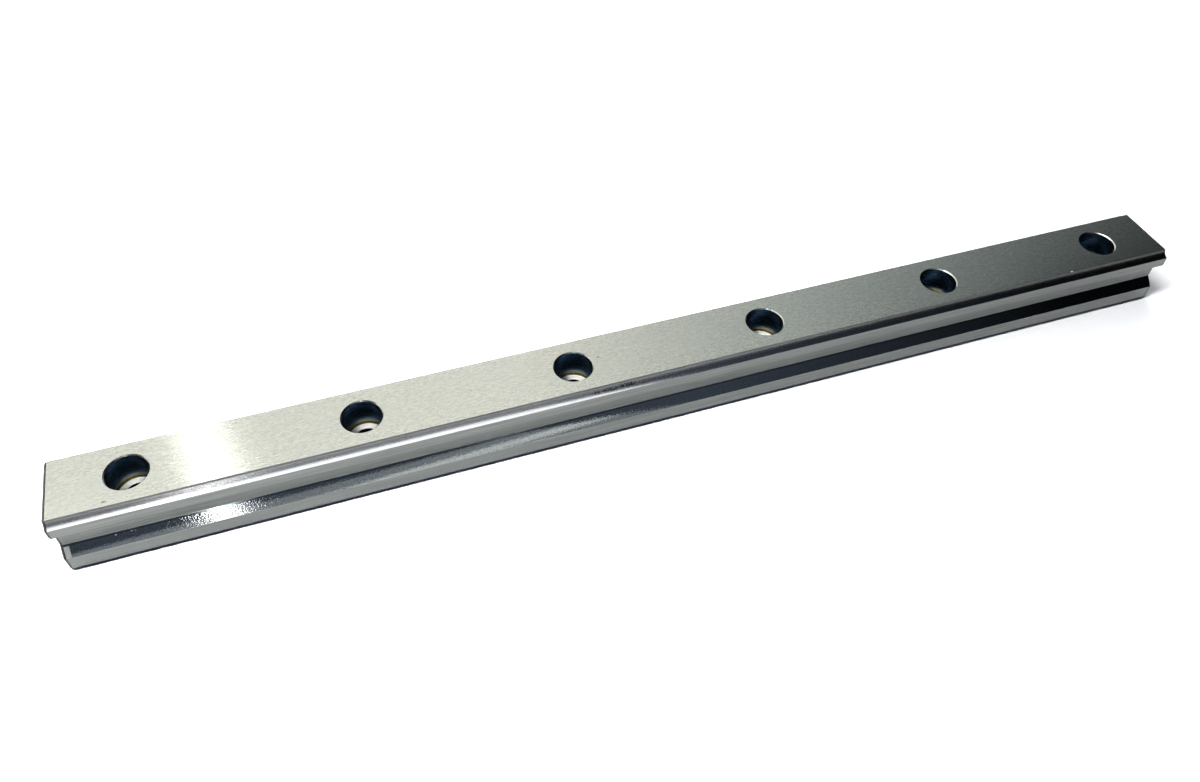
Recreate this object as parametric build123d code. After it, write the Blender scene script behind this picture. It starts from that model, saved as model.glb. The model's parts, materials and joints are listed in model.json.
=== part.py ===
from build123d import *
import os
from math import radians, tan

# The rail lies along X on its mounting face, Z = 0. The origin is the middle of that face.
rail_width = 23.0
rail_height = 20.0

# Row of screw holes: the rail's length follows from their number and spacing
hole_count = 6
hole_pitch = 60.0
end_distance = 20.0

# One screw hole, with its counterbore for a socket head
screw_hole_diameter = 7.0
screw_hole_mouth_chamfer = 0.3
screw_hole_bottom_chamfer = 0.4
counterbore_diameter = 11.0
counterbore_depth = 9.0
counterbore_rim_chamfer = 0.3
counterbore_corner_radius = 0.4

# Head: a ball raceway runs along each of its four corners, a hollow arc on a 45 degree chord
raceway_leg = 2.0
raceway_radius = 2.5
head_side_height = 3.1

# Neck: upright sides, ground back behind the raceways, with a small radius at head and base
neck_relief = 0.7
neck_corner_radius = 0.5

# Base: upright sides, shoulders that slope up to the neck, and a chamfer under each side
base_side_height = 5.6
base_slope_angle = 45.0
base_chamfer = 1.0

# Broken edges along the rail, and the chamfer all around each end
edge_radius = 0.2
end_chamfer = 0.5
end_chamfer_angle = 45.0

rail_length = (hole_count - 1) * hole_pitch + 2 * end_distance
place_tolerance = 0.001


def corners_at(sketch, axis, place):
    """The sketch's corners that lie at this place along this axis."""
    return sketch.vertices().filter_by_position(axis, place - place_tolerance, place + place_tolerance)


def rail_section():
    """Section of the rail in the YZ plane: the right half drawn from the base up, then mirrored."""
    side = rail_width / 2
    raceway_edge = side - raceway_leg
    neck = raceway_edge - neck_relief
    slope_top = base_side_height + (side - neck) * tan(radians(base_slope_angle))
    head_side_top = rail_height - raceway_leg
    head_side_bottom = head_side_top - head_side_height
    lower_raceway_bottom = head_side_bottom - raceway_leg
    neck_top = lower_raceway_bottom - neck_relief

    with BuildSketch(Plane.YZ) as section:
        with BuildLine():
            Polyline(
                (0, 0),
                (side - base_chamfer, 0),
                (side, base_chamfer),
                (side, base_side_height),
                (neck, slope_top),
                (neck, neck_top),
                (raceway_edge, lower_raceway_bottom),
            )
            RadiusArc((raceway_edge, lower_raceway_bottom), (side, head_side_bottom), raceway_radius)
            Line((side, head_side_bottom), (side, head_side_top))
            RadiusArc((side, head_side_top), (raceway_edge, rail_height), raceway_radius)
            Line((raceway_edge, rail_height), (0, rail_height))
            mirror(about=Plane.YZ)
        make_face()
        fillet(corners_at(section, Axis.X, neck) + corners_at(section, Axis.X, -neck), neck_corner_radius)
        for height in (base_side_height, head_side_bottom, head_side_top, rail_height):
            fillet(corners_at(section, Axis.Y, height), edge_radius)
    return section.sketch


def screw_hole():
    """The space of one screw hole, turned about Z: from the mounting face up to the rim in the top face."""
    screw = screw_hole_diameter / 2
    head = counterbore_diameter / 2
    floor = rail_height - counterbore_depth
    corner_centre = (head - counterbore_corner_radius, floor + counterbore_corner_radius)

    with BuildPart() as hole:
        with BuildSketch(Plane.XZ):
            with BuildLine():
                Polyline(
                    (0, rail_height),
                    (0, 0),
                    (screw + screw_hole_bottom_chamfer, 0),
                    (screw, screw_hole_bottom_chamfer),
                    (screw, floor - screw_hole_mouth_chamfer),
                    (screw + screw_hole_mouth_chamfer, floor),
                    (corner_centre[0], floor),
                )
                CenterArc(corner_centre, counterbore_corner_radius, -90, 90)
                Polyline(
                    (head, corner_centre[1]),
                    (head, rail_height - counterbore_rim_chamfer),
                    (head + counterbore_rim_chamfer, rail_height),
                    (0, rail_height),
                )
            make_face()
        revolve(axis=Axis.Z)
    return hole.part


def guide_rail():
    """The section run along X and narrowed at both ends, with the row of screw holes cut out of it."""
    section = rail_section()
    straight_length = rail_length - 2 * end_chamfer
    end_section = Pos(straight_length / 2, 0, 0) * section

    with BuildPart() as rail:
        extrude(section, straight_length / 2, both=True)
        extrude(end_section, end_chamfer, taper=end_chamfer_angle)
        mirror(about=Plane.YZ)
        with GridLocations(hole_pitch, 0, hole_count, 1):
            add(screw_hole(), mode=Mode.SUBTRACT)
    return rail.part


os.makedirs("parts", exist_ok=True)
export_step(guide_rail(), "parts/guide_rail.step")
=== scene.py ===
import json
from math import atan2, cos, degrees, pi, radians, sin, sqrt, tan

import bmesh
import bpy
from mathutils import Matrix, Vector


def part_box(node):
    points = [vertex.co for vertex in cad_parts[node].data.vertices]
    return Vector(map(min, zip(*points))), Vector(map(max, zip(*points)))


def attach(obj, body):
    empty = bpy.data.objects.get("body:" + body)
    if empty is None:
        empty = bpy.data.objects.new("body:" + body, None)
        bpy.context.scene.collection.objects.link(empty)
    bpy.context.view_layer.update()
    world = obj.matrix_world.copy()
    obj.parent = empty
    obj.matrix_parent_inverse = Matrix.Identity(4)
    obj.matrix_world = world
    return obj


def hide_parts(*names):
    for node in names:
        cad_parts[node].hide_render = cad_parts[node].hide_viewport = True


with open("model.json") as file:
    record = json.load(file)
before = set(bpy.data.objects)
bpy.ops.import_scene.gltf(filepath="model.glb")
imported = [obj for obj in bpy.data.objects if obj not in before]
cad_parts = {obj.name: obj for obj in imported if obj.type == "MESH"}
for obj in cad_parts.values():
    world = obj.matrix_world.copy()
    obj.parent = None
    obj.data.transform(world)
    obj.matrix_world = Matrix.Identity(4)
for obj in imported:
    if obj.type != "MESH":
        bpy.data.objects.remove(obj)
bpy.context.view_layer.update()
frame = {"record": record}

# The rail lies along X on the floor, Z = 0. Lengths are metres, written here in millimetres.
MM = 0.001
low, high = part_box("guide_rail")
half_length, side, top = high.x, high.y, high.z
mounts = {mount["name"]: mount for mount in frame["record"]["mounts"]}

# Screw holes. The record's counterbore is the straight stretch of wall between the rim and the corner.
counterbore_dims = mounts["counterbore_1"]["dims"]
counterbore_radius = counterbore_dims["r_mm"] * MM
screw_radius = mounts["screw_hole_1"]["dims"]["r_mm"] * MM
rim_chamfer = 0.3 * MM
mouth_chamfer = 0.3 * MM
bottom_chamfer = 0.4 * MM
floor_corner_radius = 0.4 * MM
counterbore_depth = rim_chamfer + counterbore_dims["length_mm"] * MM + floor_corner_radius
hole_floor = top - counterbore_depth

# A lighter olive-brown band at the foot of each counterbore's wall, a painted reflection of the bright
# floor, fades out between these heights above the floor
foot_reflection_low = 0.6 * MM
foot_reflection_high = 2.4 * MM

# Groove left by the turning tool in the floor of each counterbore
tool_ring_radius = 4.6 * MM
tool_ring_width = 0.2 * MM
tool_ring_depth = 0.05 * MM

# Section
raceway_leg = 2.0 * MM
raceway_radius = 2.5 * MM
head_side_height = 3.1 * MM
neck_relief = 0.7 * MM
neck_corner_radius = 0.5 * MM
base_side_height = 5.6 * MM
base_chamfer = 1.0 * MM
edge_radius = 0.07 * MM

# The slope bulges as an arc that turns by this angle
slope_crown = radians(8)

# Ends, and the strips beside a chamfer that are as dark as the chamfer. Under the base that dark is painted
# shade along the contact line
end_chamfer = 0.5 * MM
end_border = 0.25 * MM
base_shade_border = 0.25 * MM

# Painted reflection: the slope's left end is paler and duller over this length, ending in a short fade
end_reflection_length = 2.0 * MM
end_reflection_fade = 0.2 * MM

# Marks of use: the centre of each, from the middle of the mounting face, and its radii, in millimetres
SPECKS = [
    ((-156.7, -9.5, 8.0), (0.45, 0.6, 0.5)),
    ((-154.6, -9.5, 8.1), (0.40, 0.6, 0.4)),
    ((-152.9, -9.5, 8.0), (0.50, 0.6, 0.5)),
    ((-151.9, -9.7, 7.8), (0.35, 0.6, 0.4)),
]
BROWN_TICK = ((-155.6, -8.0, 20.0), (0.9, 0.35, 0.5))
FAINT_MARK = ((-22.2, 1.4, 20.0), (0.8, 0.5, 0.5))
PALE_NICK = ((133.1, -9.4, 19.9), (0.7, 0.5, 0.5))
RACEWAY_SMUDGES = [
    ((-26.4, -10.4, 18.6), (1.0, 0.5, 0.5)),
    ((-22.4, -10.2, 18.7), (2.4, 0.6, 0.6)),
    ((-17.4, -10.1, 18.8), (3.0, 0.6, 0.6)),
]

# How finely the round stretches are divided. The last steps of an upper raceway are its lip.
edge_steps = 5
corner_steps = 6
crown_steps = 8
raceway_steps = 18
lip_steps = 3
hole_sides = 128

# How the mesh is joined and shaded. The outermost stretches at each end are the chamfer and the border.
end_stretches = 2
sharp_angle = radians(30)
weld_distance = 0.0001 * MM


def arc(centre, radius, start, end, steps):
    """Points of an arc in the section plane, its ends included. Angles are degrees, from +Y to +Z."""
    angles = [radians(start + (end - start) * k / steps) for k in range(steps + 1)]
    return [(centre[0] + radius * cos(a), centre[1] + radius * sin(a)) for a in angles]


def crown(start, end, turn, steps):
    """Points of a shallow arc that bulges to the right on the way from start to end, its end left out."""
    chord = Vector(end) - Vector(start)
    outward = Vector((chord.y, -chord.x)).normalized()
    radius = chord.length / (2 * sin(turn / 2))
    points = []
    for k in range(steps):
        at = turn * (k / steps - 0.5)
        along = 0.5 + sin(at) / (2 * sin(turn / 2))
        points.append(Vector(start) + chord * along + outward * radius * (cos(at) - cos(turn / 2)))
    return [(point.x, point.y) for point in points]


def half_section(inset):
    """The section's right half from the base up, as (y, z, zone of the face that starts there).

    Every face is moved inward by the inset. The number of points is the same for every inset.
    """
    # A 45 degree face that moves in by the inset moves by the slant along Y or Z
    slant = inset * sqrt(2)
    wall = side - inset
    roof = top - inset
    neck_wall = side - raceway_leg - neck_relief - inset
    edge = max(edge_radius - inset, 0)
    corner = neck_corner_radius + inset
    groove = raceway_radius + inset
    # From where a 45 degree corner's sides would meet to where its rounding ends, for a radius of 1
    corner_rise = tan(radians(22.5))

    # The centre of each raceway's arc lies outside the steel, opposite the middle of its 45 degree chord
    head_middle = top - raceway_leg - head_side_height / 2
    centre_reach = sqrt(raceway_radius**2 - raceway_leg**2 / 2) / sqrt(2)
    upper = (side - raceway_leg / 2 + centre_reach, top - raceway_leg / 2 + centre_reach)
    lower = (upper[0], 2 * head_middle - upper[1])
    points = []

    def add(places, zone):
        """Puts these points at the end of the section, each in this zone."""
        points.extend((y, z, zone) for y, z in places)

    # Base: chamfer, border darkened as painted shade, upright side, rounded edge
    base_foot = base_chamfer - inset + slant
    add([(side - base_chamfer - slant + inset, inset), (wall, base_foot)], "base_chamfer")
    add([(wall, base_foot + base_shade_border)], "ground_side")
    slope_foot = base_side_height + inset - slant
    edge_arc = arc((wall - edge, slope_foot - edge * corner_rise), edge, 0, 45, edge_steps)

    # Neck: slope, rounded foot, upright side, rounded top, slanted underside of the head
    foot = slope_foot + wall - neck_wall
    shoulder = 2 * head_middle - top - neck_relief + slant - inset
    foot_arc = arc((neck_wall + corner, foot + corner * corner_rise), corner, 225, 180, corner_steps)
    slope = crown(edge_arc[-1], foot_arc[0], slope_crown, crown_steps)
    add(edge_arc[:-1] + slope[:-1], "base_slope")
    # The crease at the foot of the neck takes a darker finish: painted shade
    add(slope[-1:] + foot_arc[: corner_steps // 2], "neck_corner")
    top_arc = arc((neck_wall + corner, shoulder - corner * corner_rise), corner, 180, 135, corner_steps)
    add(foot_arc[corner_steps // 2 :] + top_arc, "neck_side")

    # Lower raceway, from the slanted underside to the rounded edge of the head's side
    lean = (lower[1] - lower[0] - shoulder + neck_wall) / sqrt(2)
    half_chord = sqrt(groove**2 - lean**2)
    first = degrees(atan2(-lean - half_chord, lean - half_chord))
    rise = sqrt((groove + edge) ** 2 - (wall - edge - lower[0]) ** 2)
    turn = degrees(atan2(rise, wall - edge - lower[0]))
    add(arc(lower, groove, first, turn, raceway_steps)[:-1], "raceway")
    add(arc((wall - edge, lower[1] + rise), edge, turn - 180, 0, edge_steps), "ground_side")

    # Upper raceway, from the head's side to the rounded edge of the top face
    across = sqrt((groove + edge) ** 2 - (roof - edge - upper[1]) ** 2)
    last = degrees(atan2(roof - edge - upper[1], -across)) % 360
    add(arc((wall - edge, upper[1] - rise), edge, 0, 180 - turn, edge_steps)[:-1], "raceway")
    upper_arc = arc(upper, groove, 360 - turn, last, raceway_steps)[:-1]
    add(upper_arc[:-lip_steps], "raceway")
    add(upper_arc[-lip_steps:], "raceway_lip")
    top_edge = arc((upper[0] - across, roof - edge), edge, last - 180, 90, edge_steps)
    add(top_edge[:-1], "raceway_edge")
    add(top_edge[-1:], "ground_top")
    return points


def outline(inset=0.0):
    """The whole section: the right half up, then its mirror image down. The mounting face closes it."""
    right = half_section(inset)
    zones_before = ["base_underside"] + [zone for _, _, zone in right[:-1]]
    left = [(-y, z, zone) for (y, z, _), zone in zip(right, zones_before)]
    return right + left[::-1]


def hole_profile():
    """One screw hole from the rim down, as (radius, height, zone of the face that starts there)."""
    floor_edge = counterbore_radius - floor_corner_radius
    corner_centre = (floor_edge, hole_floor + floor_corner_radius)
    corner = arc(corner_centre, floor_corner_radius, 0, -90, corner_steps)
    ring_outer = tool_ring_radius
    ring_inner = tool_ring_radius - tool_ring_width
    return [
        (counterbore_radius + rim_chamfer, top, "hole_rim"),
        (counterbore_radius, top - rim_chamfer, "hole_wall"),
        *((r, z, "hole_corner") for r, z in corner[:-1]),
        (floor_edge, hole_floor, "hole_floor"),
        (ring_outer, hole_floor, "hole_floor"),
        (ring_outer - tool_ring_depth, hole_floor - tool_ring_depth, "hole_floor"),
        (ring_inner + tool_ring_depth, hole_floor - tool_ring_depth, "hole_floor"),
        (ring_inner, hole_floor, "hole_floor"),
        (screw_radius + mouth_chamfer, hole_floor, "hole_floor"),
        (screw_radius, hole_floor - mouth_chamfer, "screw_wall"),
        (screw_radius, bottom_chamfer, "base_underside"),
        (screw_radius + bottom_chamfer, 0.0, "base_underside"),
    ]


class RailMesh:
    """The rail's mesh under construction. Its UV map runs along each face's grain, then across it."""

    def __init__(self, zones):
        self.bm = bmesh.new()
        self.grain = self.bm.loops.layers.uv.new("grain")
        self.zones = zones

    def face(self, corners, places, zone):
        """A face over these corners, with each corner's place along and across the grain."""
        polygon = self.bm.faces.new(corners)
        polygon.material_index = self.zones.index(zone)
        for loop, place in zip(polygon.loops, places):
            loop[self.grain].uv = place

    def bar(self, stations):
        """The long faces between the outlines at these (x, inset) stations.

        The outermost stretches at each end are the chamfer and its dark border. Between them the top and
        the bottom stay open for the plates around the holes.
        """
        rings = []
        for x, inset in stations:
            rings.append([self.bm.verts.new((x, y, z)) for y, z, _ in outline(inset)])
        zones = [zone for _, _, zone in outline()]
        count = len(zones)
        across = [0.0]
        for k in range(count):
            across.append(across[-1] + (rings[1][(k + 1) % count].co - rings[1][k].co).length)
        openings = (count // 2 - 1, count - 1)
        last_stretch = len(rings) - 2
        for i in range(last_stretch + 1):
            x0, x1 = stations[i][0], stations[i + 1][0]
            at_end = min(i, last_stretch - i) < end_stretches
            for k in range(count):
                if k in openings and not at_end:
                    continue
                n = (k + 1) % count
                corners = (rings[i][k], rings[i][n], rings[i + 1][n], rings[i + 1][k])
                u, v = across[k], across[k + 1]
                zone = "end_edge" if at_end else zones[k]
                self.face(corners, ((x0, u), (x0, v), (x1, v), (x1, u)), zone)
        for ring in (rings[0][::-1], rings[-1]):
            self.face(ring, [(v.co.y, v.co.z) for v in ring], "cut_end")
        return rings

    def hole(self, centre):
        """The wall of one screw hole. Returns its top and bottom circles."""
        profile = hole_profile()
        turns = [2 * pi * j / hole_sides for j in range(hole_sides)]
        circles = []
        for radius, z, _ in profile:
            ring = [(centre.x + radius * cos(a), centre.y + radius * sin(a), z) for a in turns]
            circles.append([self.bm.verts.new(place) for place in ring])
        depth = 0.0
        for i in range(len(profile) - 1):
            radius, z, zone = profile[i]
            next_radius, next_z, _ = profile[i + 1]
            next_depth = depth + sqrt((next_radius - radius) ** 2 + (next_z - z) ** 2)
            for j in range(hole_sides):
                n = (j + 1) % hole_sides
                corners = (circles[i][j], circles[i][n], circles[i + 1][n], circles[i + 1][j])
                u, v = turns[j] * counterbore_radius, (turns[j] + turns[1]) * counterbore_radius
                self.face(corners, ((u, depth), (v, depth), (v, next_depth), (u, next_depth)), zone)
            depth = next_depth
        return circles[0], circles[-1]

    def plate(self, border, circle, zone):
        """Flat faces between four corners and the circle in their middle."""
        edges = []
        for loop in (border, circle):
            for k, vert in enumerate(loop):
                pair = (vert, loop[(k + 1) % len(loop)])
                edges.append(self.bm.edges.get(pair) or self.bm.edges.new(pair))
        filled = bmesh.ops.triangle_fill(self.bm, edges=edges, use_beauty=True)
        for polygon in filled["geom"]:
            if isinstance(polygon, bmesh.types.BMFace):
                polygon.material_index = self.zones.index(zone)
                for loop in polygon.loops:
                    loop[self.grain].uv = loop.vert.co.xy

    def finish(self, name, materials):
        """Welds the mesh, keeps its sharp edges sharp and returns it as an object."""
        bmesh.ops.remove_doubles(self.bm, verts=self.bm.verts, dist=weld_distance)
        bmesh.ops.recalc_face_normals(self.bm, faces=self.bm.faces)
        for polygon in self.bm.faces:
            polygon.smooth = True
        for edge in self.bm.edges:
            edge.smooth = edge.calc_face_angle(0) < sharp_angle
        mesh = bpy.data.meshes.new(name)
        self.bm.to_mesh(mesh)
        self.bm.free()
        for material in materials:
            mesh.materials.append(material)
        piece = bpy.data.objects.new(name, mesh)
        bpy.context.scene.collection.objects.link(piece)
        piece.modifiers.new("even_shading", "WEIGHTED_NORMAL").keep_sharp = True
        return piece


def build_rail(materials):
    """The rail as one closed mesh, with a finish for each zone of its surface."""
    rail = RailMesh(list(materials))
    centres = [Vector(mount["pos_m"]) for name, mount in mounts.items() if name.startswith("counterbore_")]
    centres.sort(key=lambda centre: centre.x)
    straight_end = half_length - end_chamfer
    clean_end = straight_end - end_border
    between = [(a.x + b.x) / 2 for a, b in zip(centres, centres[1:])]
    stations = [(x, 0.0) for x in (-straight_end, -clean_end, *between, clean_end, straight_end)]
    rings = rail.bar([(-half_length, end_chamfer), *stations, (half_length, end_chamfer)])
    top_right = len(rings[0]) // 2 - 1
    for k, centre in enumerate(centres, end_stretches):
        here, there = rings[k], rings[k + 1]
        rim, mouth = rail.hole(centre)
        top_border = (here[top_right], there[top_right], there[top_right + 1], here[top_right + 1])
        rail.plate(top_border, rim, "ground_top")
        rail.plate((here[-1], there[-1], there[0], here[0]), mouth, "base_underside")
    return rail.finish("rail", materials.values())


class Finish:
    """A node material for steel, under construction. Most methods add nodes and return their output."""

    def __init__(self, name):
        self.material = bpy.data.materials.new(name)
        self.material.use_nodes = True
        self.tree = self.material.node_tree
        self.shader = self.tree.nodes["Principled BSDF"]
        self.shader.inputs["Metallic"].default_value = 1.0
        self.place = self.add("ShaderNodeTexCoord").outputs["Object"]

    def add(self, kind, inputs=None, **settings):
        """A node with these settings. Its inputs are given by name or number, as values or as sockets."""
        node = self.tree.nodes.new(kind)
        for key, value in settings.items():
            setattr(node, key, value)
        for key, value in (inputs or {}).items():
            self.set(node.inputs[key], value)
        return node

    def set(self, socket, value):
        """Links the socket where the value is one too, and otherwise writes the value into it."""
        if isinstance(value, bpy.types.NodeSocket):
            self.tree.links.new(value, socket)
        else:
            socket.default_value = value

    def noise(self, size, detail=2.0, roughness=0.5, place=None):
        """Noise from 0 to 1, whose features have this size in millimetres along the place's three axes.

        The place is the one on the object, unless another is given.
        """
        scale = [1 / (MM * length) for length in size]
        mapping = self.add("ShaderNodeMapping", {"Vector": place or self.place, "Scale": scale})
        inputs = {"Vector": mapping.outputs[0], "Scale": 1.0, "Detail": detail, "Roughness": roughness}
        return self.add("ShaderNodeTexNoise", inputs).outputs["Fac"]

    def spread(self, factor, low_in, high_in, low_out=0.0, high_out=1.0):
        """The factor's range from low_in to high_in, spread over the range from low_out to high_out."""
        values = dict(enumerate((factor, low_in, high_in, low_out, high_out)))
        return self.add("ShaderNodeMapRange", values).outputs[0]

    def math(self, operation, first, second):
        """The result of one operation on two numbers."""
        return self.add("ShaderNodeMath", {0: first, 1: second}, operation=operation).outputs[0]

    def blend(self, factor, first, second):
        """The first colour where the factor is 0, the second where it is 1."""
        # The node has sockets for numbers and vectors too: its colours go in at 6 and 7, and out at 2
        node = self.add("ShaderNodeMix", {0: factor}, data_type="RGBA")
        for number, colour in ((6, first), (7, second)):
            linked = isinstance(colour, bpy.types.NodeSocket)
            self.set(node.inputs[number], colour if linked else (*colour, 1.0))
        return node.outputs[2]

    def spot(self, centre, radii):
        """1 at the centre of an ellipsoid and 0 outside it. Lengths are in millimetres."""
        scale = [1 / (MM * radius) for radius in radii]
        shift = [-at / radius for at, radius in zip(centre, radii)]
        inputs = {"Vector": self.place, "Scale": scale, "Location": shift}
        mapping = self.add("ShaderNodeMapping", inputs)
        length = self.add("ShaderNodeVectorMath", {0: mapping.outputs[0]}, operation="LENGTH")
        return self.spread(length.outputs["Value"], 0.0, 1.0, 1.0, 0.0)

    def bump(self, height, depth):
        """Relief of this depth in millimetres, where the height goes from 0 to 1."""
        inputs = {"Height": height, "Distance": depth * MM, "Strength": 1.0}
        return self.add("ShaderNodeBump", inputs).outputs[0]

    def surface(self, colour, roughness, normal=None, streaked=0.0):
        """Sets the shader and returns the material.

        Streaked is how far the gloss is drawn out across the grain, from 0 to 1.
        """
        self.set(self.shader.inputs["Base Color"], colour)
        self.set(self.shader.inputs["Roughness"], roughness)
        if normal is not None:
            self.set(self.shader.inputs["Normal"], normal)
        if streaked:
            quarter_turn = 0.25
            self.shader.inputs["Anisotropic"].default_value = streaked
            self.shader.inputs["Anisotropic Rotation"].default_value = quarter_turn
            tangent = self.add("ShaderNodeTangent", direction_type="UV_MAP", uv_map="grain")
            self.set(self.shader.inputs["Tangent"], tangent.outputs[0])
        return self.material


def ground_top():
    """Satin face, ground lengthwise: short streaks, fine mottling and a faint clouding.

    It has a brown tick, a faint mark and a pale nick in its front edge.
    """
    steel = Finish("ground_top_steel")
    streaks = steel.noise((1.5, 0.30, 0.30), detail=3.0, roughness=0.6)
    scratches = steel.noise((9.0, 0.07, 0.07), detail=2.0)
    mottle = steel.noise((0.7, 0.5, 0.5), detail=2.0, roughness=0.6)
    cloud = steel.noise((14.0, 7.0, 7.0), detail=2.0)
    grain = steel.math("ADD", steel.math("MULTIPLY", streaks, 0.6), steel.math("MULTIPLY", mottle, 0.4))
    tone = steel.spread(grain, 0.38, 0.62)
    colour = steel.blend(tone, (0.425, 0.435, 0.410), (0.565, 0.563, 0.510))
    colour = steel.blend(steel.spread(cloud, 0.35, 0.65, 0.0, 0.35), colour, (0.48, 0.50, 0.475))
    roughness = steel.spread(grain, 0.38, 0.62, 0.145, 0.11)
    colour = steel.blend(steel.spot(*BROWN_TICK), colour, (0.16, 0.10, 0.05))
    colour = steel.blend(steel.spot(*FAINT_MARK), colour, (0.30, 0.30, 0.28))
    steel.set(steel.shader.inputs["Metallic"], steel.spread(steel.spot(*PALE_NICK), 0.0, 0.4, 1.0, 0.0))
    relief = steel.math("ADD", steel.math("MULTIPLY", scratches, 0.5), steel.math("MULTIPLY", grain, 0.5))
    return steel.surface(colour, roughness, steel.bump(relief, 0.009), streaked=0.85)


def raceway():
    """Ball raceway, ground fine: nearly a mirror, with lengthwise lines and one stretch of brown specks."""
    steel = Finish("raceway_steel")
    lines = steel.noise((30.0, 0.06, 0.06), detail=2.0)
    mottle = steel.noise((3.0, 0.5, 0.5), detail=2.0)
    colour = steel.blend(mottle, (0.34, 0.34, 0.34), (0.40, 0.40, 0.40))
    stain = 0.0
    for smudge in RACEWAY_SMUDGES:
        stain = steel.math("MAXIMUM", stain, steel.spot(*smudge))
    speckle = steel.spread(steel.noise((0.45, 0.25, 0.25), detail=1.0), 0.45, 0.55)
    stain = steel.math("MULTIPLY", steel.spread(stain, 0.0, 0.3), speckle)
    colour = steel.blend(stain, colour, (0.07, 0.045, 0.03))
    roughness = steel.spread(lines, 0.3, 0.7, 0.26, 0.21)
    return steel.surface(colour, roughness, steel.bump(lines, 0.002), streaked=0.95)


def raceway_lip():
    """Uppermost strip of an upper raceway, darker than the rest of it."""
    steel = Finish("raceway_lip_steel")
    lines = steel.noise((20.0, 0.08, 0.08), detail=2.0)
    colour = steel.blend(steel.spread(lines, 0.3, 0.7), (0.14, 0.14, 0.14), (0.20, 0.20, 0.20))
    return steel.surface(colour, steel.spread(lines, 0.3, 0.7, 0.26, 0.20), streaked=0.9)


def raceway_edge():
    """Broken edge between a raceway and the top face, darker than both."""
    steel = Finish("raceway_edge_steel")
    lines = steel.noise((12.0, 0.1, 0.1), detail=2.0)
    colour = steel.blend(steel.spread(lines, 0.3, 0.7), (0.11, 0.11, 0.11), (0.20, 0.20, 0.20))
    return steel.surface(colour, steel.spread(lines, 0.3, 0.7, 0.34, 0.26))


def ground_side(name="ground_side_steel", dark=(0.193, 0.203, 0.196), bright=(0.260, 0.274, 0.264)):
    """Upright sides of the head and base, ground lengthwise and duller than the top."""
    steel = Finish(name)
    lines = steel.noise((24.0, 0.16, 0.16), detail=3.0)
    mottle = steel.noise((1.6, 0.5, 0.5), detail=2.0)
    colour = steel.blend(steel.spread(lines, 0.36, 0.64), dark, bright)
    roughness = steel.spread(mottle, 0.3, 0.7, 0.36, 0.28)
    return steel.surface(colour, roughness, steel.bump(lines, 0.005), streaked=0.4)


def neck_side():
    """Upright side of the neck: ground like the other sides, and darker."""
    return ground_side("neck_side_steel", (0.173, 0.181, 0.175), (0.234, 0.245, 0.237))


def base_slope():
    """Slope from the base to the neck, left as it was drawn: smooth, with a fine pebbled skin.

    Its left end has a pale strip of painted reflection, and a few bright specks lie near there, along the
    neck.
    """
    steel = Finish("drawn_slope_steel")
    pebble = steel.noise((0.50, 0.38, 0.38), detail=1.5)
    cloud = steel.noise((9.0, 2.0, 2.0), detail=2.0)
    colour = steel.blend(steel.spread(pebble, 0.3, 0.7), (0.40, 0.41, 0.41), (0.50, 0.51, 0.50))
    roughness = steel.spread(cloud, 0.35, 0.65, 0.05, 0.07)
    along_rail = steel.add("ShaderNodeSeparateXYZ", {0: steel.place}).outputs[0]
    # Painted reflection: a pale, dull strip at the left end, for the bright floor mirrored past the end
    end_reflection_limit = -half_length + end_reflection_length
    end_reflection = steel.spread(along_rail, end_reflection_limit, end_reflection_limit + end_reflection_fade, 1.0, 0.0)
    colour = steel.blend(end_reflection, colour, (0.54, 0.54, 0.52))
    roughness = steel.spread(end_reflection, 0.0, 1.0, roughness, 0.5)
    dust = 0.0
    for speck in SPECKS:
        dust = steel.math("MAXIMUM", dust, steel.spot(*speck))
    colour = steel.blend(steel.spread(dust, 0.1, 0.5), colour, (0.9, 0.9, 0.9))
    steel.set(steel.shader.inputs["Metallic"], steel.spread(dust, 0.1, 0.5, 1.0, 0.0))
    return steel.surface(colour, roughness, steel.bump(pebble, 0.012))


def neck_corner():
    """Corner where the slope meets the neck, as smooth as the slope and darker: painted shade in the
    crease.
    """
    steel = Finish("neck_corner_painted_shade")
    blotch = steel.noise((2.0, 0.5, 0.5), detail=3.0)
    # Painted shade: the crease is darker than the slope
    colour = steel.blend(steel.spread(blotch, 0.3, 0.7), (0.24, 0.25, 0.26), (0.32, 0.33, 0.34))
    return steel.surface(colour, steel.spread(blotch, 0.3, 0.7, 0.10, 0.06))


def base_chamfer_shade():
    """Chamfer under each side of the base and the side's lowest edge, dark: painted shade where the rail
    meets the floor.
    """
    steel = Finish("base_chamfer_painted_shade")
    blotch = steel.noise((3.0, 0.6, 0.6), detail=3.0)
    # Painted shade: near black, so that the foot of the rail reads as a dark contact line
    colour = steel.blend(steel.spread(blotch, 0.3, 0.7), (0.02, 0.02, 0.04), (0.05, 0.05, 0.08))
    return steel.surface(colour, steel.spread(blotch, 0.3, 0.7, 0.5, 0.4))


def base_underside():
    """Mounting face, ground like the top and never polished."""
    steel = Finish("mounting_face_steel")
    lines = steel.noise((6.0, 0.2, 0.2), detail=3.0)
    colour = steel.blend(steel.spread(lines, 0.3, 0.7), (0.26, 0.26, 0.27), (0.36, 0.36, 0.36))
    roughness = steel.spread(lines, 0.3, 0.7, 0.45, 0.35)
    return steel.surface(colour, roughness, steel.bump(lines, 0.006))


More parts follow.
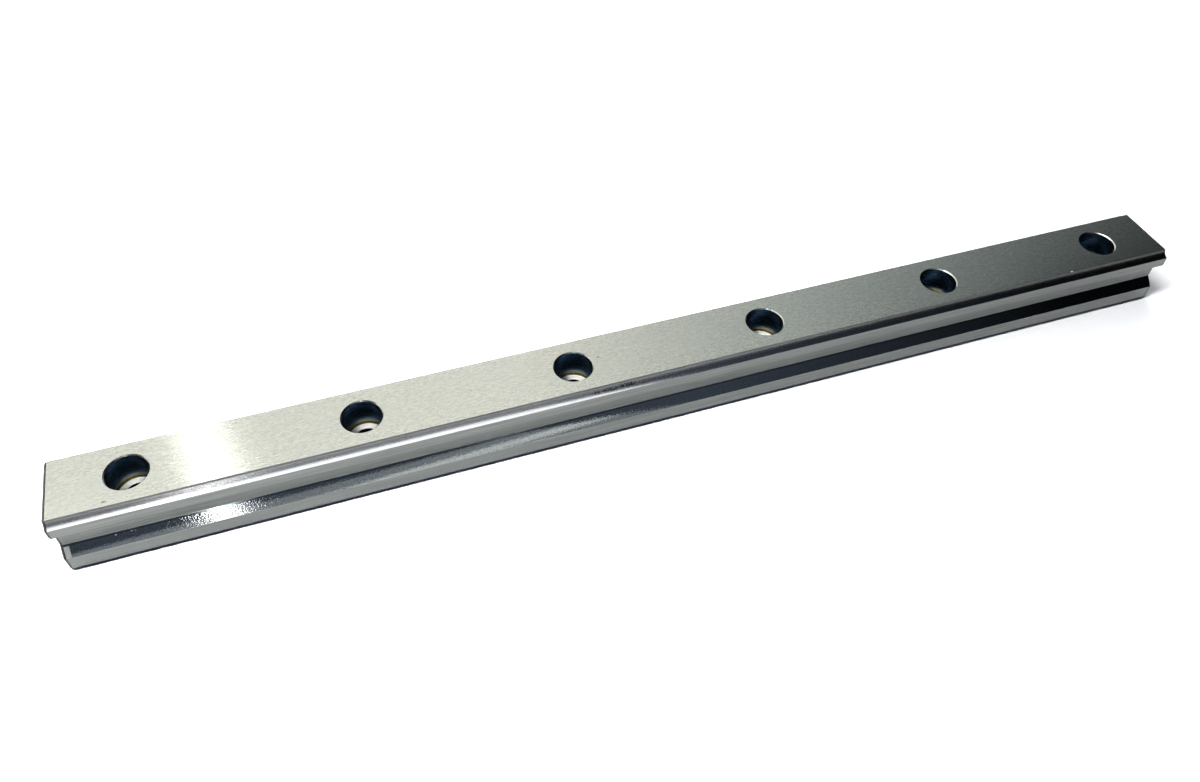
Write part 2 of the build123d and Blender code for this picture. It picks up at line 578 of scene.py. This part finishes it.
def hole_wall():
    """Bored wall, dark blue from hardening, with a lighter olive-brown band at its foot: a painted
    reflection of the floor.
    """
    steel = Finish("bored_wall_steel")
    around = steel.add("ShaderNodeUVMap", uv_map="grain").outputs[0]
    rings = steel.noise((40.0, 0.3, 1.0), place=around)
    height = steel.add("ShaderNodeSeparateXYZ", {0: steel.place}).outputs[2]
    foot = steel.spread(height, hole_floor + foot_reflection_low, hole_floor + foot_reflection_high, 1.0, 0.0)
    dark = steel.blend(rings, (0.055, 0.125, 0.23), (0.095, 0.18, 0.30))
    # Painted reflection: the wall's foot is lighter, for the bright counterbore floor that it mirrors
    colour = steel.blend(foot, dark, (0.27, 0.25, 0.17))
    return steel.surface(colour, steel.spread(rings, 0.3, 0.7, 0.24, 0.32), steel.bump(rings, 0.002))


def hole_corner():
    """Rounded corner between the wall and the floor of a counterbore, dark brown."""
    steel = Finish("counterbore_corner_steel")
    blotch = steel.noise((0.8, 0.8, 0.8))
    colour = steel.blend(steel.spread(blotch, 0.35, 0.65), (0.10, 0.085, 0.04), (0.22, 0.18, 0.09))
    return steel.surface(colour, steel.spread(blotch, 0.3, 0.7, 0.3, 0.4))


def hole_floor_finish():
    """Turned floor of the counterbore: bright rings, tinted straw in patches."""
    steel = Finish("turned_floor_steel")
    around = steel.add("ShaderNodeUVMap", uv_map="grain").outputs[0]
    rings = steel.noise((60.0, 0.12, 1.0), place=around)
    blotch = steel.noise((1.2, 1.2, 1.2))
    colour = steel.blend(steel.spread(blotch, 0.35, 0.65), (0.92, 0.89, 0.78), (1.0, 0.99, 0.93))
    roughness = steel.spread(rings, 0.3, 0.7, 0.42, 0.50)
    return steel.surface(colour, roughness, steel.bump(rings, 0.004), streaked=0.9)


def screw_wall():
    """Wall of the screw hole, nearly black."""
    steel = Finish("screw_hole_steel")
    blotch = steel.noise((1.0, 1.0, 2.0))
    colour = steel.blend(blotch, (0.012, 0.014, 0.02), (0.045, 0.045, 0.05))
    return steel.surface(colour, steel.spread(blotch, 0.3, 0.7, 0.3, 0.45))


def hole_rim():
    """Narrow chamfer at the rim of a counterbore, paler than its wall."""
    steel = Finish("rim_chamfer_steel")
    blotch = steel.noise((0.8, 0.8, 0.8))
    colour = steel.blend(steel.spread(blotch, 0.35, 0.65), (0.42, 0.42, 0.39), (0.60, 0.60, 0.56))
    return steel.surface(colour, steel.spread(blotch, 0.3, 0.7, 0.32, 0.22))


def end_edge():
    """Chamfer around each end, with a narrow border: ground by hand, dull and dark."""
    steel = Finish("end_chamfer_steel")
    blotch = steel.noise((0.7, 0.7, 0.7), detail=3.0)
    colour = steel.blend(steel.spread(blotch, 0.3, 0.7), (0.04, 0.035, 0.035), (0.10, 0.09, 0.085))
    return steel.surface(colour, steel.spread(blotch, 0.3, 0.7, 0.5, 0.35), steel.bump(blotch, 0.01))


def cut_end():
    """End face, cut by a wheel: the wheel's fine lines and a faint brown tinge from the heat."""
    steel = Finish("cut_end_steel")
    wheel = steel.noise((0.4, 9.0, 0.12), detail=3.0)
    cloud = steel.noise((5.0, 5.0, 5.0), detail=2.0)
    colour = steel.blend(steel.spread(wheel, 0.3, 0.7), (0.17, 0.17, 0.17), (0.29, 0.29, 0.285))
    colour = steel.blend(steel.spread(cloud, 0.45, 0.75, 0.0, 0.4), colour, (0.20, 0.17, 0.14))
    roughness = steel.spread(wheel, 0.3, 0.7, 0.40, 0.28)
    return steel.surface(colour, roughness, steel.bump(wheel, 0.01))


def build_stage():
    """A plain pale floor under the rail."""
    reach = 4.0
    corners = ((-1, -1), (1, -1), (1, 1), (-1, 1))
    mesh = bpy.data.meshes.new("floor")
    mesh.from_pydata([(x * reach, y * reach, low.z) for x, y in corners], [], [(0, 1, 2, 3)])
    floor = bpy.data.objects.new("floor", mesh)
    bpy.context.scene.collection.objects.link(floor)
    paper = bpy.data.materials.new("pale_floor")
    paper.use_nodes = True
    shader = paper.node_tree.nodes["Principled BSDF"]
    shader.inputs["Base Color"].default_value = (0.93, 0.93, 0.93, 1.0)
    shader.inputs["Roughness"].default_value = 0.9
    mesh.materials.append(paper)


def softbox(name, centre, size, turn, brightness, tint=(1.0, 1.0, 1.0)):
    """A soft rectangular lamp that faces down until it is turned. Brightness is its surface's radiance."""
    light = bpy.data.lights.new(name, "AREA")
    light.shape = "RECTANGLE"
    light.size, light.size_y = size
    light.energy = brightness * pi * size[0] * size[1]
    light.color = tint
    lamp = bpy.data.objects.new(name, light)
    lamp.location = centre
    lamp.rotation_euler = [radians(angle) for angle in turn]
    lamp.visible_camera = False
    bpy.context.scene.collection.objects.link(lamp)
    return lamp


def build_lights():
    """A softbox overhead, a row of tubes across the rail and two dim cards, which the steel mirrors.

    The tubes run from behind the rail to the front, left of its middle, and then down to the floor. The
    cards stand in front. Two further lamps light the floor alone.
    """
    tube_width = 0.026
    tube_height = 0.66
    green_white = (0.97, 1.0, 0.97)
    yellow_white = (0.98, 1.0, 0.94)
    mirrored = [
        softbox("overhead_softbox", (-0.220, 0.0, 0.70), (0.78, 0.74), (0, 0, -14), 3.0),
        softbox("back_tube", (-0.265, 0.57, tube_height), (0.022, 0.34), (0, 0, 12), 3.2),
        softbox("middle_tube", (-0.277, -0.22, tube_height), (tube_width, 0.78), (0, 0, -0.6), 6.5),
        softbox("slanted_tube", (-0.302, -0.91, tube_height), (tube_width, 0.74), (0, 0, -6), 6.5),
        softbox("front_tube", (-0.332, -1.20, tube_height / 2), (tube_width, tube_height), (90, 0, 0), 8.0),
        softbox("front_card", (-0.450, -1.0, 0.083), (1.9, 1.1), (90, -27, 0), 0.33, green_white),
        softbox("front_strip", (-0.055, -0.95, 0.546), (0.75, 0.14), (90, -35.5, 0), 0.6, yellow_white),
    ]
    for lamp in mirrored:
        lamp.visible_diffuse = False
    for_the_floor = [
        softbox("floor_lamp", (-0.24, -0.06, 0.58), (0.40, 0.08), (0, 0, 0), 56.0),
        softbox("back_floor_lamp", (0.30, 0.66, 0.46), (0.50, 0.20), (0, 0, 0), 8.0),
    ]
    for lamp in for_the_floor:
        lamp.visible_glossy = False


class Room:
    """The world around the rail, as nodes that depend only on the direction looked in.

    Right is the direction's X. Climb is its angle from the front, through the zenith, to the back.
    """

    def __init__(self):
        self.world = bpy.data.worlds.new("studio")
        self.world.use_nodes = True
        self.tree = self.world.node_tree
        direction = self.add("ShaderNodeTexCoord").outputs["Generated"]
        parts = self.add("ShaderNodeSeparateXYZ", direction).outputs
        self.right = parts["X"]
        forward = self.add("ShaderNodeMath", parts["Y"], -1.0, operation="MULTIPLY").outputs[0]
        self.climb = self.add("ShaderNodeMath", parts["Z"], forward, operation="ARCTAN2").outputs[0]

    def add(self, kind, *inputs, **settings):
        """A node with these settings and inputs, which are values or sockets."""
        node = self.tree.nodes.new(kind)
        for key, value in settings.items():
            setattr(node, key, value)
        for socket, value in zip(node.inputs, inputs):
            if isinstance(value, bpy.types.NodeSocket):
                self.tree.links.new(value, socket)
            else:
                socket.default_value = value
        return node

    def spread(self, factor, low_in, high_in, low_out=0.0, high_out=1.0):
        """The factor's range from low_in to high_in, spread over the range from low_out to high_out."""
        return self.add("ShaderNodeMapRange", factor, low_in, high_in, low_out, high_out).outputs[0]

    def glow(self, colour, strength):
        """Light of this colour and strength, which may be a socket."""
        return self.add("ShaderNodeBackground", (*colour, 1.0), strength).outputs[0]

    def mix(self, factor, first, second):
        """The first light where the factor is 0, the second where it is 1."""
        return self.add("ShaderNodeMixShader", factor, first, second).outputs[0]


def build_world():
    """A pale wall behind the rail and a dark room in front, both darker to the right.

    The wall begins about overhead, along a soft edge that leans back towards the right. Past the floor
    the camera itself sees a plain grey.
    """
    edge_lean = radians(32)
    edge_start = radians(103)
    edge_end = radians(113)
    room = Room()
    wall_strength = room.spread(room.right, 0.16, 0.70, 1.40, 0.28)
    warm_wall = room.glow((1.0, 1.0, 0.97), wall_strength)
    cool_wall = room.glow((0.90, 1.0, 1.04), wall_strength)
    wall = room.mix(room.spread(room.right, 0.2, 0.65), warm_wall, cool_wall)
    front = room.glow((0.74, 0.90, 1.15), room.spread(room.right, 0.34, 0.63, 0.17, 0.008))
    lean = room.add("ShaderNodeMath", room.right, edge_lean, operation="MULTIPLY").outputs[0]
    level = room.add("ShaderNodeMath", room.climb, lean, operation="SUBTRACT").outputs[0]
    mirrored = room.mix(room.spread(level, edge_start, edge_end), front, wall)
    backdrop = room.glow((0.96, 0.99, 1.0), 0.46)
    rays = room.add("ShaderNodeLightPath").outputs
    seen = room.mix(rays["Is Camera Ray"], mirrored, backdrop)
    room.tree.links.new(seen, room.tree.nodes["World Output"].inputs[0])
    bpy.context.scene.world = room.world


def build_camera():
    """The photograph's camera: close above the rail's left half, looking down along it to the right.

    Its place, turn and lens were solved from the rims of the holes, the long edges and both ends.
    """
    place = (-88.028 * MM, -178.531 * MM, 220.863 * MM)
    turn = (radians(41.6266), radians(-1.2226), radians(-18.9973))
    camera = bpy.data.cameras.new("photo_camera")
    camera.sensor_fit = "HORIZONTAL"
    camera.sensor_width = 36.0
    camera.lens = 29.018
    camera.clip_start = 0.01
    view = bpy.data.objects.new("photo_camera", camera)
    view.location = place
    view.rotation_euler = turn
    bpy.context.scene.collection.objects.link(view)
    bpy.context.scene.camera = view


FINISHES = {
    "ground_top": ground_top,
    "raceway": raceway,
    "raceway_lip": raceway_lip,
    "raceway_edge": raceway_edge,
    "ground_side": ground_side,
    "base_slope": base_slope,
    "neck_corner": neck_corner,
    "neck_side": neck_side,
    "base_chamfer": base_chamfer_shade,
    "base_underside": base_underside,
    "hole_rim": hole_rim,
    "hole_wall": hole_wall,
    "hole_corner": hole_corner,
    "hole_floor": hole_floor_finish,
    "screw_wall": screw_wall,
    "end_edge": end_edge,
    "cut_end": cut_end,
}

build_camera()
build_stage()
build_lights()
build_world()
rail = build_rail({zone: finish() for zone, finish in FINISHES.items()})
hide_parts("guide_rail")
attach(rail, "root")

# The photograph is contrasty and its white floor is overexposed, so the whites aren't rolled off
bpy.context.scene.view_settings.view_transform = "Standard"
bpy.context.scene.view_settings.gamma = 0.8
